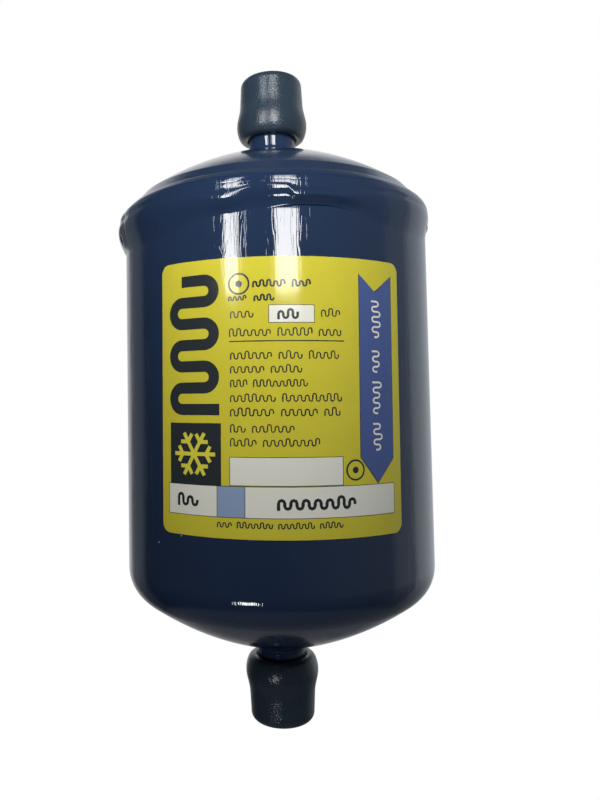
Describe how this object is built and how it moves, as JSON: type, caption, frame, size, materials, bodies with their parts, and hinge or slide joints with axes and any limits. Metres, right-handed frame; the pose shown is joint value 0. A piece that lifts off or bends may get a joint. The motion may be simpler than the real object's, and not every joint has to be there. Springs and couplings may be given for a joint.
{
  "type": "filter drier",
  "caption": "Painted steel liquid-line filter drier with domed ends, solder sockets under push-on caps, a label, and a spring-held solid core inside.",
  "frame": {"origin": "centre of the outlet socket's mouth, on the drier's axis", "axes": "+Z along the drier's axis from the outlet to the inlet, -Y out of the middle of the label, +X to the right of the label"},
  "size_m": [0.0829, 0.0828, 0.172],
  "materials": {
    "navy_paint": "gloss powder paint on steel",
    "black_vinyl": "dipped vinyl, semi-gloss",
    "label_film": "gloss printed film",
    "bare_steel": "bare pressed steel",
    "spring_steel": "drawn wire",
    "desiccant": "moulded porous block",
    "fibre": "felted fibre"
  },
  "bodies": {
    "drier": {"body_cup": "navy_paint", "end_cover": "navy_paint", "seam_weld": "navy_paint", "inlet_socket": "navy_paint", "outlet_socket": "navy_paint", "inlet_braze": "navy_paint", "outlet_braze": "navy_paint", "label": "label_film", "support_plate": "bare_steel", "mesh_screen": "bare_steel", "filter_pad": "fibre", "core_gasket": "fibre", "desiccant_core": "desiccant", "spring_plate": "bare_steel", "core_spring": "spring_steel"},
    "inlet_cap": {"inlet_cap": "black_vinyl"},
    "outlet_cap": {"outlet_cap": "black_vinyl"}
  },
  "joints": [
    {"name": "inlet_cap_pull", "type": "slide", "parent": "drier", "child": "inlet_cap", "axis": [0, 0, 1], "range_m": [0, 0.06]},
    {"name": "outlet_cap_pull", "type": "slide", "parent": "drier", "child": "outlet_cap", "axis": [0, 0, -1], "range_m": [0, 0.06]}
  ]
}
